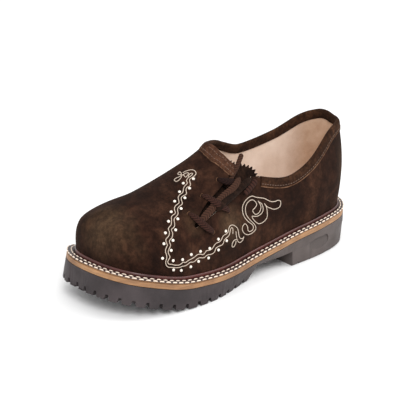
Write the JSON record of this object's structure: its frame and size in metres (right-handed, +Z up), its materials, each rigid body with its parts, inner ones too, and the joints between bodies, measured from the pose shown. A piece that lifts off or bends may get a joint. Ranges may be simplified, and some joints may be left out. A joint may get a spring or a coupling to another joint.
{
  "type": "haferl shoe",
  "caption": "Low suede haferl shoe for the left foot, laced at its outer side over a tongue, on a stitched storm welt, a leather midsole and a lugged rubber outsole.",
  "frame": {"origin": "on the floor, under the middle of the shoe's bounding box", "axes": "+X towards the heel, +Y towards the inner side of the foot, +Z up"},
  "size_m": [0.301, 0.1162, 0.1248],
  "materials": {
    "rubber": "matt moulded rubber",
    "midsole_leather": "cut and burnished edge of tan leather",
    "welt_leather": "red-brown leather, waxed, with light stitching",
    "lining_leather": "smooth beige leather",
    "suede": "dark brown suede with light embroidery",
    "binding_suede": "dark brown suede strip",
    "lace": "braided dark brown lace"
  },
  "bodies": {
    "root": {"outsole": "rubber", "midsole": "midsole_leather", "welt": "welt_leather", "insole": "lining_leather", "upper": "suede", "collar": "binding_suede", "tongue": "binding_suede", "lace_crossings": "lace", "lace_end": "lace"}
  },
  "joints": []
}
